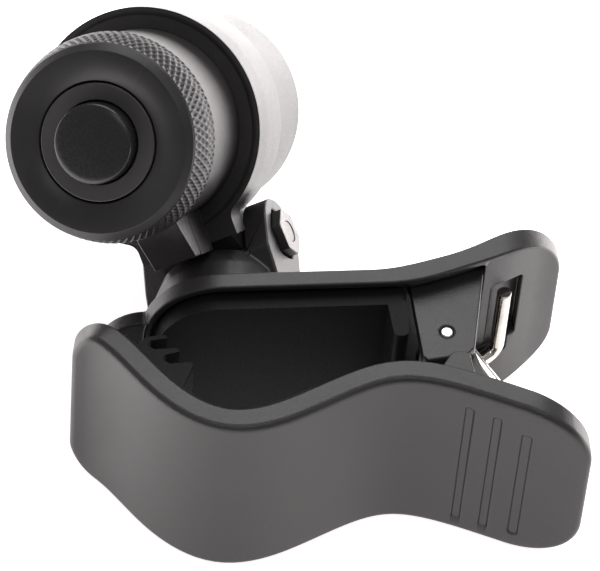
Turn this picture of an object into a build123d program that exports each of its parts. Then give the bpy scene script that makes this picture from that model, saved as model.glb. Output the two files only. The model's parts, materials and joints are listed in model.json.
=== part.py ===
from build123d import *
from math import cos, pi, radians, sin
import os

# Clip-on tuner: a barrel-shaped head on a tilting, swivelling yoke on a large spring clip.
# The clip lies on its side. X runs from the mouth to the levers, Y from the lower jaw to the upper jaw and
# the head, and Z is up, along the pivot pin. The origin is under the middle of the whole object.
# Everything is drawn with the pivot pin's mid-point at zero and moved to PIVOT at the end.

PIVOT = Vector(16.99, -17.76, 13.25)

# Clip
CLIP_HALF = 13.25           # half the width of both jaws
PIN_R = 0.75
PIN_BORE_R = 0.80
PIN_HALF = 11.0

# Upper jaw
TOP_Y = 7.5                 # outer face of the flat part
NOSE_X = -33.45
UPPER_END_X = 14.7
ROOF_THICK = 1.4            # jaw plate inside the rim
RIM_WIDTH = 0.9
NOSE_CORNER = 8.6
UPPER_LEVER_CORNER = 8.2
POCKET_END_X = 5.0
BEAK_X = -38.3
BEAK_HALF = 6.7
BEAK_CORNER = 5.0
BEAK_THICK = 1.9
TAB_OUT = 11.0
TAB_THICK = 1.5
SPIGOT_HOLE_R = 3.06

# Lower jaw
LOWER_THICK = 2.55
LOWER_RIM = 0.32
LOWER_RIM_WIDTH = 0.9
TIP_X = -41.5
LOWER_END_X = 15.2
TIP_CORNER = 5.0
LOWER_LEVER_CORNER = 7.0
LUG_OUT = 9.4
LUG_THICK = 1.2
LUG_R = 2.9
BUMP_IN = 11.3
MARK_WIDTH = 1.05
MARK_DEPTH = 0.25
MARK_PITCH = 3.05

# Liners
PAD_BOTTOM_Y = 3.6
PAD_TOP_Y = 6.0
PAD_HALF = 11.6
PAD_CORNER = 7.0
PAD_RIM = 1.0
PAD_ROOF_Y = 4.1
LOWER_PAD_HALF = 12.3
LOWER_PAD_THICK = 0.8

# Torsion spring
WIRE_R = 0.85
COIL_R = 2.35
COIL_PITCH = 1.76
COIL_TURNS = 7
COIL_START_Z = -4.6

# Yoke
SWIVEL_X = -23.8
SWIVEL_DEG = 29.5           # the bolt is turned this far from X about Y, towards Z
HINGE_Y = 19.9
YOKE_GAP = 0.1
TURRET_R = 7.9
TURRET_NECK_R = 6.5
TURRET_SHOULDER_Y = 13.2
TURRET_TOP_Y = 16.1
EAR_IN = 5.3
EAR_OUT = 8.3
EAR_R = 4.4                 # ear with the nut
HEAD_EAR_R = 3.2            # ear with the bolt's head
EAR_FOOT = 2.5
TROUGH_R = 4.4
SPIGOT_R = 3.0
BOLT_R = 1.25
BOLT_BORE_R = 1.30
NUT_FLATS = 5.0
NUT_IN = 7.3
NUT_OUT = 9.3
NUT_POCKET_FLATS = 5.5
NUT_TURN_DEG = 17.0
KNUCKLE_R = 4.0
KNUCKLE_HALF = 4.85

# Head. Distances along its axis are counted from the hinge bolt, positive towards the dial.
TILT_DEG = 41.0
HEAD_Q = 17.0               # height of the head's axis above the hinge bolt
COLLAR_FRONT = 8.4
COLLAR_BACK = -0.9
COLLAR_R = 13.77
COLLAR_BACK_R = 13.5
WALL = 1.35
BARREL_R = 11.3             # dial end
BARREL_FRONT = 19.0
DISPLAY_R = 11.7            # display end
DISPLAY_BACK = -14.7
SHIELD_HALF = 6.0           # neck in front of the ears
SHIELD_BACK = 5.0
NECK_BOTTOM = 2.0
RIB_HALF = 2.65
RIB_BOTTOM = 1.2
RIB_SPLIT = 12.8

# Dial, hub and button
DIAL_R = 11.9
DIAL_BACK = 19.2
DIAL_FRONT = 25.0
DIAL_FACE_R = 10.7
DIAL_BEVEL = 1.2
DIAL_BORE_R = 6.71
HUB_R = 6.64
HUB_STEM_R = 6.24
HUB_LIP = 23.3              # back of the wider front part of the hub
HUB_FLANGE_R = 7.8
BUTTON_R = 4.53
BUTTON_HOLE_R = 4.72
BUTTON_FRONT = 27.2
BUTTON_TRAVEL = 0.8

# Battery
CELL_R = 10.0
CELL_THICK = 3.2
CELL_BACK = 1.6
TRAY_R = 10.7
TRAY_BACK = 1.0
TRAY_FRONT = 5.0


# ---- helpers -------------------------------------------------------------------------------------------

def head_plane():
    """Frame of the head: X along the hinge bolt, Y up from the bolt to the head's axis, Z towards the dial."""
    turn = radians(SWIVEL_DEG)
    tilt = radians(TILT_DEG)
    bolt = Vector(cos(turn), 0, sin(turn))
    dial = Vector(-sin(turn) * cos(tilt), -sin(tilt), cos(turn) * cos(tilt))
    return Plane(origin=(SWIVEL_X, HINGE_Y, 0), x_dir=bolt, z_dir=dial)


def yoke_plane():
    """Frame of the yoke: X along the hinge bolt, Y up the swivel axis from the jaw plate, Z to the front."""
    turn = radians(SWIVEL_DEG)
    bolt = Vector(cos(turn), 0, sin(turn))
    front = Vector(-sin(turn), 0, cos(turn))
    return Plane(origin=(SWIVEL_X, TOP_Y, 0), x_dir=bolt, z_dir=front)


HEAD = head_plane()
YOKE = yoke_plane()
HINGE_H = HINGE_Y - TOP_Y   # height of the hinge bolt above the jaw plate


def slab(face, z0, z1):
    """A face in the XY plane made into a solid from z0 to z1."""
    return Pos(0, 0, z0) * extrude(face, z1 - z0)


def polygon(*points):
    return make_face(Polyline(*points, close=True))


def rod(radius, z0, z1, x=0, y=0):
    return Pos(x, y, (z0 + z1) / 2) * Cylinder(radius, z1 - z0)


def ring(outer, inner, z0, z1, x=0, y=0):
    return rod(outer, z0, z1, x, y) - rod(inner, z0 - 1, z1 + 1, x, y)


def block(x0, x1, y0, y1, z0, z1):
    return Pos((x0 + x1) / 2, (y0 + y1) / 2, (z0 + z1) / 2) * Box(x1 - x0, y1 - y0, z1 - z0)


def parallel(line, distance, start=0.0, end=1.0, count=36):
    """Curve at a constant distance from a line, positive to the left of its direction."""
    points = []
    for i in range(count + 1):
        u = start + (end - start) * i / count
        side = line.tangent_at(u).rotate(Axis.Z, 90)
        points.append(line.position_at(u) + side * distance)
    return Spline(*points)


def strip(line, near, far, start=0.0, end=1.0):
    """Face between two parallels of a line."""
    a = parallel(line, near, start, end)
    b = parallel(line, far, start, end)
    return make_face([a, Line(a @ 1, b @ 1), b, Line(b @ 0, a @ 0)])


def plan(x0, x1, half, front_radius, back_radius):
    """Upright block with rounded corners, seen along Y, to trim a jaw's outline."""
    face = polygon((x0, -half), (x1, -half), (x1, half), (x0, half))
    face = fillet(face.vertices().sort_by(Axis.X)[:2], front_radius)
    face = fillet(face.vertices().sort_by(Axis.X)[-2:], back_radius)
    height = 60
    return Pos(0, height / 2, 0) * extrude(Plane.XZ * face, height)


def helix_coil(radius, wire_r, pitch, turns):
    """Round wire wound about Z from z = 0, starting on +X."""
    path = Helix(pitch, pitch * turns, radius)
    profile = Plane(path @ 0, z_dir=path % 0) * Circle(wire_r)
    return sweep(profile, path)


def on_axis(shape):
    """Moves a piece drawn about Z onto the head's axis."""
    return Pos(0, HEAD_Q, 0) * shape


def in_head(shape):
    return HEAD.location * shape


def in_yoke(shape):
    return YOKE.location * shape


# ---- clip: outlines ------------------------------------------------------------------------------------

def upper_line():
    """Outer face of the upper jaw in side view, from the nose to the end of the lever."""
    bend = (-8.0, TOP_Y)
    flat = Line((NOSE_X - 1, TOP_Y), bend)
    lever = Spline(bend, (-1.3, 8.65), (2.3, 9.75), (7.1, 11.95), (12.0, 13.85), (UPPER_END_X + 1, 14.5),
                   tangents=[(1, 0), (1, 0.2)])
    return Wire([flat, lever])


def upper_underside():
    """Lower edge of the rim and inner face of the lever in side view."""
    bend = (-9.0, TOP_Y - 2.1)
    flat = Line((NOSE_X - 1, TOP_Y - 2.1), bend)
    lever = Spline(bend, (-3.8, 5.6), (-1.3, 6.1), (2.0, 7.15), (5.0, 8.15), (9.3, 9.95),
                   (12.0, 11.35), (UPPER_END_X + 1, 12.6), tangents=[(1, 0), (1, 0.3)])
    return Wire([flat, lever])


def lower_line():
    """Inner face of the lower jaw in side view, from the tip to the end of the lever."""
    return Spline((TIP_X - 0.8, 2.5), (-38.7, 1.6), (-35.3, -1.75), (-31.3, -7.2), (-25.6, -11.15),
                  (-16.6, -9.1), (-5.6, -5.3), (2.2, -7.25), (9.2, -10.4), (LOWER_END_X + 1.5, -13.1))


# ---- clip: upper jaw -----------------------------------------------------------------------------------

def jaw_tab(z0, z1):
    """Trapezoid tab that carries the pivot pin."""
    face = polygon((-3.6, 6.8), (5.3, 9.8), (2.95, -2.4), (2.0, -3.2), (-2.5, -3.9), (-3.0, -3.4))
    return slab(face, z0, z1) - rod(PIN_BORE_R, z0 - 1, z1 + 1)


def make_upper_jaw():
    top = upper_line()
    under = upper_underside()
    side = make_face([top, Line(top @ 1, under @ 1), under, Line(under @ 0, top @ 0)])
    jaw = slab(side, -CLIP_HALF, CLIP_HALF)
    jaw = jaw & plan(NOSE_X, UPPER_END_X, CLIP_HALF, NOSE_CORNER, UPPER_LEVER_CORNER)
    pocket = slab(strip(top, -ROOF_THICK, -6.0), -CLIP_HALF, CLIP_HALF)
    inner = CLIP_HALF - RIM_WIDTH
    pocket = pocket & plan(NOSE_X + RIM_WIDTH, POCKET_END_X, inner, NOSE_CORNER - RIM_WIDTH, 0.5)
    jaw = jaw - pocket
    beak = plan(BEAK_X, NOSE_X + RIM_WIDTH - 0.1, BEAK_HALF, BEAK_CORNER, 0.05)
    jaw = jaw + (beak & block(-50, 0, TOP_Y - BEAK_THICK, TOP_Y, -CLIP_HALF, CLIP_HALF))
    jaw = jaw - (Pos(SWIVEL_X, TOP_Y, 0) * Rot(90, 0, 0) * Cylinder(SPIGOT_HOLE_R, 10))
    jaw = jaw + jaw_tab(TAB_OUT - TAB_THICK, TAB_OUT) + jaw_tab(-TAB_OUT, TAB_THICK - TAB_OUT)
    return jaw - spring_pocket()


def spring_pocket():
    """Recess in the lever's inner face for the spring's cross leg, with a short way in."""
    deep = slab(strip(upper_line(), -1.3, -4.5), -5.7, 7.6)
    return deep & (block(6.3, 9.9, 0, 20, -3.2, 7.6) + block(4.4, 9.0, 0, 20, -5.7, -3.0))


# ---- clip: lower jaw -----------------------------------------------------------------------------------

def jaw_lug(z0, z1):
    """Ear of the lower jaw that turns on the pivot pin, inside the upper jaw's tab."""
    foot = polygon((-LUG_R, 0), (LUG_R, 0), (4.9, -9.0), (-4.3, -6.6))
    return slab(foot + Circle(LUG_R), z0, z1) - rod(PIN_BORE_R, z0 - 1, z1 + 1)


def rim_bump(z0, z1):
    """Rounded bump on the lower jaw's edge, which hides the foot of the tab."""
    face = polygon((-1.6, -6.6), (0.0, -4.35), (1.9, -4.35), (2.3, -8.2))
    face = fillet(face.vertices().sort_by(Axis.Y)[-2:], 0.7)
    return slab(face, z0, z1)


def finger_marks(line):
    """Three long shallow marks across the outside of the lever."""
    marks = []
    for i, (low, high) in enumerate(((-11.4, 10.3), (-11.3, 10.1), (-10.6, 8.6))):
        x = 2.75 + i * MARK_PITCH
        outline = Pos(x, (low + high) / 2) * SlotOverall(high - low, MARK_WIDTH, rotation=90)
        marks.append(Pos(0, -5, 0) * extrude(Plane.XZ * outline, 20))
    band = slab(strip(line, -LOWER_THICK + MARK_DEPTH, -LOWER_THICK - 2), -CLIP_HALF, CLIP_HALF)
    return [mark & band for mark in marks]


def make_lower_jaw():
    line = lower_line()
    outline = plan(TIP_X, LOWER_END_X, CLIP_HALF, TIP_CORNER, LOWER_LEVER_CORNER)
    inset = plan(TIP_X + LOWER_RIM_WIDTH, LOWER_END_X - LOWER_RIM_WIDTH,
                 CLIP_HALF - LOWER_RIM_WIDTH, TIP_CORNER - LOWER_RIM_WIDTH,
                 LOWER_LEVER_CORNER - LOWER_RIM_WIDTH)
    jaw = slab(strip(line, 0, -LOWER_THICK), -CLIP_HALF, CLIP_HALF) & outline
    rim = slab(strip(line, -LOWER_THICK / 2, -LOWER_THICK - LOWER_RIM), -CLIP_HALF, CLIP_HALF)
    jaw = jaw + ((rim & outline) - inset)
    inner_side = slab(strip(line, 8, -0.5), -CLIP_HALF, CLIP_HALF)
    for side in (-1, 1):
        z0, z1 = sorted((side * (LUG_OUT - LUG_THICK), side * LUG_OUT))
        jaw = jaw + (jaw_lug(z0, z1) & inner_side)
        z0, z1 = sorted((side * BUMP_IN, side * CLIP_HALF))
        jaw = jaw + (rim_bump(z0, z1) & inner_side)
    for mark in finger_marks(line):
        jaw = jaw - mark
    return jaw


# ---- clip: liners --------------------------------------------------------------------------------------

def make_upper_pad():
    """Shallow rubber tray under the jaw plate, with a rear wall that turns down."""
    back_x = -4.1
    tray = plan(NOSE_X + RIM_WIDTH + 0.4, back_x, PAD_HALF, PAD_CORNER, 0.6)
    hollow = plan(NOSE_X + RIM_WIDTH + 0.4 + PAD_RIM, back_x - 2.2, PAD_HALF - PAD_RIM,
                  PAD_CORNER - PAD_RIM, 0.6)
    pad = tray & block(-60, 0, PAD_BOTTOM_Y, PAD_TOP_Y, -CLIP_HALF, CLIP_HALF)
    pad = pad - (hollow & block(-60, 0, 0, PAD_ROOF_Y, -CLIP_HALF, CLIP_HALF))
    wall = polygon((back_x - 2.3, PAD_BOTTOM_Y + 0.5), (back_x - 1.9, -0.8), (back_x - 0.3, -0.8),
                   (back_x, PAD_BOTTOM_Y + 0.5))
    wall = fillet(wall.vertices().sort_by(Axis.Y)[:2], 0.7)
    pad = pad + slab(wall, -PAD_HALF, PAD_HALF)
    well = Pos(SWIVEL_X, PAD_TOP_Y, 0) * Rot(90, 0, 0) * Cylinder(5.2, 3.0)
    return pad - well


def teeth_outline():
    """Three rubber fingers at the mouth of the lower liner, in side view."""
    return polygon((-35.5, -2.2), (-33.8, -0.35), (-31.6, -0.1), (-31.3, -0.7), (-33.3, -0.95),
                   (-33.6, -1.5), (-33.0, -2.05), (-30.4, -2.0), (-30.1, -2.6), (-31.8, -3.0),
                   (-32.0, -3.6), (-31.4, -4.1), (-29.0, -3.95), (-28.7, -4.5), (-30.3, -8.0),
                   (-31.5, -9.0))


def serrations(line):
    """Fine saw teeth on the liner behind the mouth."""
    points = []
    count = 9
    start = 0.218
    step = 0.013
    for i in range(count):
        for rise, shift in ((0.55, 0.0), (1.0, 0.5)):
            u = start + (i + shift) * step
            side = line.tangent_at(u).rotate(Axis.Z, 90)
            points.append(line.position_at(u) + side * rise)
    points.append(line.position_at(start + (count - 1) * step))
    points.append(line.position_at(start))
    return polygon(*points)


def make_lower_pad():
    line = lower_line()
    lining = slab(strip(line, 0.03, LOWER_PAD_THICK, 0.1, 0.49), -LOWER_PAD_HALF, LOWER_PAD_HALF)
    above = slab(strip(line, 0.03, 9, 0.05, 0.5), -LOWER_PAD_HALF, LOWER_PAD_HALF)
    teeth = slab(teeth_outline(), -LOWER_PAD_HALF, LOWER_PAD_HALF) & above
    saw = slab(serrations(line), -LOWER_PAD_HALF, LOWER_PAD_HALF) & above
    return lining + teeth + saw


# ---- clip: pin and spring ------------------------------------------------------------------------------

def make_pivot_pin():
    return chamfer(rod(PIN_R, -PIN_HALF, PIN_HALF).edges().filter_by(GeomType.CIRCLE), 0.15)


def spring_leg(start_deg, outward, z, length, cross):
    """Straight leg along the tangent at the coil's end, then a small bend and a leg across the lever."""
    a = radians(start_deg)
    start = Vector(COIL_R * cos(a), COIL_R * sin(a), z)
    along = Vector(-sin(a), cos(a), 0) * outward
    corner = start + along * length
    path = FilletPolyline(start, corner, corner + Vector(0, 0, cross), radius=1.5)
    profile = Plane(start, z_dir=along) * Circle(WIRE_R)
    return sweep(profile, path)


def make_torsion_spring():
    """Coil round the pivot pin, with one leg on each lever."""
    upper_deg = 127.0
    lower_deg = 28.0
    turns = COIL_TURNS + (lower_deg - upper_deg) / 360
    top_z = COIL_START_Z + COIL_PITCH * turns
    coil = Pos(0, 0, COIL_START_Z) * Rot(0, 0, upper_deg) * helix_coil(COIL_R, WIRE_R, COIL_PITCH, turns)
    upper = spring_leg(upper_deg, -1, COIL_START_Z, 11.6, 10.9)
    lower = spring_leg(lower_deg, -1, top_z, 9.0, -10.9)
    return coil + upper + lower


# ---- yoke ----------------------------------------------------------------------------------------------

def along_bolt(radius, t0, t1, s=0.0, y=0.0):
    """Cylinder along X, the bolt's direction, in the head's or the yoke's frame."""
    return Pos((t0 + t1) / 2, y, s) * Rot(0, 90, 0) * Cylinder(radius, t1 - t0)


def hex_prism(flats, t0, t1, y):
    face = RegularPolygon(flats / 2, 6, major_radius=False, rotation=NUT_TURN_DEG)
    solid = Pos(0, 0, t0) * extrude(face, t1 - t0)
    return Pos(0, y, 0) * Rot(0, 90, 0) * solid


def yoke_ear(t0, t1, radius):
    """Upright slab with a round top, narrower towards its foot."""
    shoulder = radius - 0.1
    side = polygon((HINGE_H, -radius), (HINGE_H, radius), (HINGE_H - 4.2, shoulder),
                   (HINGE_H - 7.2, EAR_FOOT), (YOKE_GAP, EAR_FOOT), (YOKE_GAP, -EAR_FOOT),
                   (HINGE_H - 7.2, -EAR_FOOT), (HINGE_H - 4.2, -shoulder))
    side = Plane.YZ * (side + Pos(HINGE_H, 0) * Circle(radius))
    return Pos(t0, 0, 0) * extrude(side, t1 - t0)


def turret_profile():
    base = YOKE_GAP
    shoulder = TURRET_SHOULDER_Y - TOP_Y
    top = TURRET_TOP_Y - TOP_Y
    return polygon((0, base), (TURRET_R, base), (TURRET_R, shoulder), (TURRET_NECK_R + 0.3, top - 0.3),
                   (TURRET_NECK_R, top), (0, top))


def make_yoke():
    turret = revolve(turret_profile(), Axis.Y)
    yoke = turret + yoke_ear(EAR_IN, EAR_OUT, EAR_R) + yoke_ear(-EAR_OUT, -EAR_IN, HEAD_EAR_R)
    yoke = yoke - along_bolt(TROUGH_R, -EAR_IN, EAR_IN, 0, HINGE_H)
    yoke = yoke - along_bolt(BOLT_BORE_R, -20, 20, 0, HINGE_H)
    yoke = yoke - along_bolt(2.45, -EAR_OUT - 1, 1.6 - EAR_OUT, 0, HINGE_H)
    yoke = yoke - hex_prism(NUT_POCKET_FLATS, NUT_IN - 0.1, NUT_OUT, HINGE_H)
    yoke = yoke + (Pos(0, -0.6, 0) * Rot(90, 0, 0) * Cylinder(SPIGOT_R, 1.6))
    return yoke - (Pos(0, 2.0, 0) * Rot(90, 0, 0) * Cylinder(1.0, 8.0))


def make_hinge_bolt():
    """Button-head bolt, its head sunk in one ear."""
    seat = 1.6 - EAR_OUT
    shank = along_bolt(BOLT_R, seat, NUT_OUT - 0.1, 0, HINGE_H)
    head = along_bolt(2.3, seat - 1.5, seat - 0.02, 0, HINGE_H)
    head = fillet(head.edges().filter_by(GeomType.CIRCLE).sort_by(Axis.X)[:1], 0.6)
    socket = Pos(seat - 1.6, HINGE_H, 0) * Rot(0, 90, 0) * extrude(RegularPolygon(0.85, 6), 1.0)
    return shank + (head + along_bolt(BOLT_R, seat - 0.1, seat + 0.1, 0, HINGE_H)) - socket


def make_hinge_nut():
    nut = hex_prism(NUT_FLATS, NUT_IN, NUT_OUT, HINGE_H)
    nut = nut & along_bolt(NUT_FLATS / 2 / cos(pi / 6) - 0.12, NUT_IN, NUT_OUT, 0, HINGE_H)
    return nut - along_bolt(BOLT_R + 0.02, 0, 20, 0, HINGE_H)


def make_friction_washers():
    washers = []
    for t0 in (KNUCKLE_HALF + 0.05, -EAR_IN + 0.05):
        washer = along_bolt(3.1, t0, t0 + 0.35, 0, HINGE_H)
        washers.append(washer - along_bolt(BOLT_BORE_R, t0 - 1, t0 + 1, 0, HINGE_H))
    return Compound(children=washers)


def make_swivel_washer():
    washer = Rot(90, 0, 0) * (Cylinder(4.6, 0.4) - Cylinder(1.1, 1))
    return Pos(0, -1.7, 0) * washer


def make_swivel_screw():
    head = Pos(0, -2.4, 0) * Rot(90, 0, 0) * Cylinder(1.9, 0.9)
    shank = Pos(0, 1.5, 0) * Rot(90, 0, 0) * Cylinder(0.97, 7.0)
    slot = block(-0.35, 0.35, -2.9, -2.5, -1.4, 1.4)
    cross = block(-1.4, 1.4, -2.9, -2.5, -0.35, 0.35)
    return head + shank - slot - cross


# ---- head: shells --------------------------------------------------------------------------------------

def make_collar_housing():
    """Wide middle shell of the head, with the neck, the knuckle and the rear half of the rib."""
    taper = Cone(COLLAR_BACK_R, COLLAR_R, COLLAR_FRONT - COLLAR_BACK)
    body = on_axis(Pos(0, 0, (COLLAR_FRONT + COLLAR_BACK) / 2) * taper)
    neck = Pos(0, HEAD_Q) * Circle(COLLAR_R) + polygon(
        (-SHIELD_HALF, NECK_BOTTOM), (SHIELD_HALF, NECK_BOTTOM), (SHIELD_HALF, 8), (-SHIELD_HALF, 8))
    corners = neck.vertices().filter_by(lambda v: NECK_BOTTOM + 0.5 < v.Y < 7)
    neck = fillet(corners, 1.6)
    body = body + slab(neck, SHIELD_BACK, COLLAR_FRONT)
    web = Plane.YZ * polygon((6, COLLAR_BACK), (6, COLLAR_FRONT), (NECK_BOTTOM, COLLAR_FRONT), (NECK_BOTTOM, 7.2),
                             (-0.9, KNUCKLE_R - 0.1), (0.8, -KNUCKLE_R + 0.1))
    body = body + (Pos(-KNUCKLE_HALF, 0, 0) * extrude(web, 2 * KNUCKLE_HALF))
    body = body + along_bolt(KNUCKLE_R, -KNUCKLE_HALF, KNUCKLE_HALF)
    body = body - along_bolt(BOLT_BORE_R, -20, 20)
    body = body - on_axis(rod(COLLAR_BACK_R - WALL, COLLAR_BACK + WALL, COLLAR_FRONT - WALL))
    body = body - on_axis(rod(BARREL_R + 0.02, COLLAR_FRONT - 2, COLLAR_FRONT + 1))
    body = body - on_axis(rod(DISPLAY_R + 0.02, COLLAR_BACK - 1, COLLAR_BACK + 2))
    body = body - on_axis(tray_space(0.15, 40))
    return body + rib(COLLAR_FRONT - 0.01, RIB_SPLIT)


def rib(p0, p1, into=0.0):
    """Web under the dial-end barrel from p0 to p1, let into the barrel by the amount given."""
    face = Plane.YZ * polygon((RIB_BOTTOM, 0), (RIB_BOTTOM, 14.8), (4.6, 16.8), (7.5, 17.6), (7.5, 0))
    web = Pos(-RIB_HALF, 0, 0) * extrude(face, 2 * RIB_HALF)
    web = web & block(-10, 10, 0, 10, p0, p1)
    return web - on_axis(rod(BARREL_R - into, 0, 30))


def bosses(p0, p1):
    """Pair of screw bosses that a circuit board sits on."""
    return ring(1.4, 0.6, p0, p1, -5.2, -6.3) + ring(1.4, 0.6, p0, p1, 5.2, -6.3)


def boss_holes(p0, p1):
    return rod(0.7, p0, p1, -5.2, -6.3) + rod(0.7, p0, p1, 5.2, -6.3)


def make_dial_barrel():
    """Shell between the collar and the dial, with the front half of the rib."""
    shell = rod(BARREL_R, COLLAR_FRONT - WALL, BARREL_FRONT)
    shell = shell - rod(BARREL_R - 1.3, COLLAR_FRONT, BARREL_FRONT - 1.2)
    shell = shell - rod(3.0, BARREL_FRONT - 3, BARREL_FRONT + 1)
    for angle in (90, 210, 330):
        shell = shell - (Rot(0, 0, angle) * rod(0.65, BARREL_FRONT - 3, BARREL_FRONT + 1, 6.8))
    shell = shell + bosses(COLLAR_FRONT - 0.2, 12.75)
    return on_axis(shell) + rib(RIB_SPLIT + 0.02, 30, 0.5)


def make_display_barrel():
    """Shell of the display end, closed towards the collar, with a lip round the lens."""
    front = COLLAR_BACK + WALL
    shell = rod(DISPLAY_R, DISPLAY_BACK, front) - rod(DISPLAY_R - 1.2, DISPLAY_BACK + 0.6, front - 1.2)
    shell = shell - rod(DISPLAY_R - 1.9, DISPLAY_BACK - 1, DISPLAY_BACK + 2)
    return on_axis(shell + bosses(-10.35, front - 1.0))


# ---- head: display -------------------------------------------------------------------------------------

def make_display_lens():
    return on_axis(rod(DISPLAY_R - 1.25, DISPLAY_BACK + 0.65, DISPLAY_BACK + 1.7))


def make_display_mask():
    """Thin screen under the lens, with a ring of windows for the meter and one for the note."""
    mask = rod(DISPLAY_R - 1.3, -12.7, -12.4)
    for i in range(15):
        angle = 90 + (i - 7) * 17
        window = block(7.2, 9.2, -0.55, 0.55, -14, -12)
        mask = mask - (Rot(0, 0, angle) * window)
    return on_axis(mask - block(-3.4, 3.4, -3.6, 3.6, -14, -12))


def make_meter_leds():
    """Ring of light blocks behind the meter windows."""
    blocks = []
    for i in range(15):
        angle = 90 + (i - 7) * 17
        led = block(7.3, 9.1, -0.5, 0.5, -12.35, -11.65)
        blocks.append(on_axis(Rot(0, 0, angle) * led))
    return Compound(children=blocks)


def make_note_leds():
    """Seven-bar figure and a sharp dot behind the note window."""
    bars = []
    for y in (-3.0, 0.0, 3.0):
        bars.append(block(-1.3, 1.3, y - 0.3, y + 0.3, -12.35, -11.65))
    for x in (-1.8, 1.8):
        for y in (-1.5, 1.5):
            bars.append(block(x - 0.3, x + 0.3, y - 1.0, y + 1.0, -12.35, -11.65))
    bars.append(rod(0.35, -12.35, -11.65, 2.8, 3.0))
    return Compound(children=[on_axis(bar) for bar in bars])


def make_display_board():
    return on_axis(rod(DISPLAY_R - 1.4, -11.6, -10.4) - boss_holes(-12, -10))


# ---- head: electronics ---------------------------------------------------------------------------------

def make_main_board():
    return on_axis(rod(9.7, 12.8, 14.0) - boss_holes(12, 15))


def make_board_chips():
    chips = [block(-2.5, 2.5, 1.5, 6.5, 11.8, 12.75), block(-7.5, -4.8, -2.5, 0.5, 12.0, 12.75),
             block(-2.0, 2.0, -6.0, -4.0, 11.9, 12.75)]
    return Compound(children=[on_axis(chip) for chip in chips])


def make_board_screws():
    """Four small screws, two in each board."""
    screws = []
    for x in (-5.2, 5.2):
        front = rod(1.1, 14.02, 14.7, x, -6.3) + rod(0.55, 9.5, 14.1, x, -6.3)
        back = rod(1.1, -12.3, -11.62, x, -6.3) + rod(0.55, -11.7, -4.0, x, -6.3)
        screws += [on_axis(front), on_axis(back)]
    return Compound(children=screws)


def make_piezo_disc():
    disc = rod(6.2, COLLAR_FRONT + 0.02, COLLAR_FRONT + 0.3)
    return on_axis(disc + rod(4.6, COLLAR_FRONT + 0.25, COLLAR_FRONT + 0.5))


def make_tact_switch():
    body = block(-3, 3, -3, 3, 14.02, 16.6)
    return on_axis(body + rod(1.7, 16.5, 17.3))


def make_dial_contacts():
    """Three contact strips on the barrel's front face, under the dial's wiper."""
    strips = []
    for start, end in ((58, 76), (79, 101), (104, 122)):
        sector = make_face([CenterArc((0, 0), 10.0, start, end - start),
                            Line(Vector(10.0, 0).rotate(Axis.Z, end), Vector(8.3, 0).rotate(Axis.Z, end)),
                            CenterArc((0, 0), 8.3, start, end - start),
                            Line(Vector(8.3, 0).rotate(Axis.Z, start), Vector(10.0, 0).rotate(Axis.Z, start))])
        strips.append(on_axis(slab(sector, BARREL_FRONT + 0.02, BARREL_FRONT + 0.3)))
    return Compound(children=strips)


def tray_space(gap, reach):
    """Space that the battery tray needs, open on the side away from the nut."""
    face = Circle(TRAY_R + gap) + polygon((-reach, -TRAY_R - gap), (0, -TRAY_R - gap),
                                          (0, TRAY_R + gap), (-reach, TRAY_R + gap))
    return slab(face, TRAY_BACK - gap, TRAY_FRONT + gap)


def make_battery_tray():
    tray = tray_space(0, 20) & Pos(0, 0, (COLLAR_FRONT + COLLAR_BACK) / 2) * Cone(
        COLLAR_BACK_R - 0.02, COLLAR_R - 0.02, COLLAR_FRONT - COLLAR_BACK)
    tray = tray - rod(CELL_R + 0.1, CELL_BACK - 0.05, TRAY_FRONT + 1)
    tray = tray - rod(8.6, TRAY_BACK - 1, CELL_BACK + 1)
    return on_axis(tray)


def make_coin_cell():
    cell = rod(CELL_R, CELL_BACK + 0.5, CELL_BACK + CELL_THICK) + rod(8.4, CELL_BACK, CELL_BACK + 1)
    return on_axis(cell)


def make_contact_positive():
    strip_plate = block(-2.0, 2.0, -9.0, 9.0, 5.4, 5.65)
    foot = block(-2.0, 2.0, 8.0, 9.0, 5.6, 7.0)
    return on_axis(strip_plate + foot)


def make_contact_negative():
    strip_plate = block(-2.0, 2.0, -7.0, 7.0, 0.55, 0.8)
    foot = block(-2.0, 2.0, -7.0, -6.0, 0.47, 0.7)
    return on_axis(strip_plate + foot)


# ---- head: dial and button -----------------------------------------------------------------------------

def make_shuttle_dial():
    """Cup-shaped knurled ring that turns on the hub and is kept on it by the lip in its bore."""
    dial = rod(DIAL_R, DIAL_BACK, DIAL_FRONT)
    dial = chamfer(dial.edges().filter_by(GeomType.CIRCLE).sort_by(Axis.Z)[-1:], DIAL_BEVEL)
    dial = dial - ring(DIAL_R - 1.6, HUB_FLANGE_R, DIAL_BACK - 1, DIAL_FRONT - 1.5)
    dial = dial - rod(HUB_FLANGE_R + 0.1, DIAL_BACK - 1, 21.2)
    dial = dial - rod(HUB_STEM_R + 0.06, 0, 40) - rod(DIAL_BORE_R, HUB_LIP - 0.1, 40)
    return on_axis(dial)


def make_dial_wiper():
    """Contact finger under the dial."""
    finger = block(-1.0, 1.0, 8.6, 9.7, BARREL_FRONT + 0.6, BARREL_FRONT + 0.9)
    post = block(-0.6, 0.6, 9.3, 9.7, BARREL_FRONT + 0.8, DIAL_FRONT - 1.52)
    return on_axis(finger + post)


def make_dial_hub():
    """Fixed centre of the dial, with the hole that the button moves in."""
    back = BARREL_FRONT + 0.02
    hub = rod(HUB_FLANGE_R, back, 20.9) + rod(HUB_STEM_R, back, HUB_LIP) + rod(HUB_R, HUB_LIP, DIAL_FRONT)
    hub = hub - rod(BUTTON_HOLE_R, 0, 40) - rod(5.5, 0, 21.4)
    for angle in (90, 210, 330):
        hub = hub - (Rot(0, 0, angle) * rod(0.5, 18, 20.5, 6.8))
    return on_axis(hub)


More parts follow.
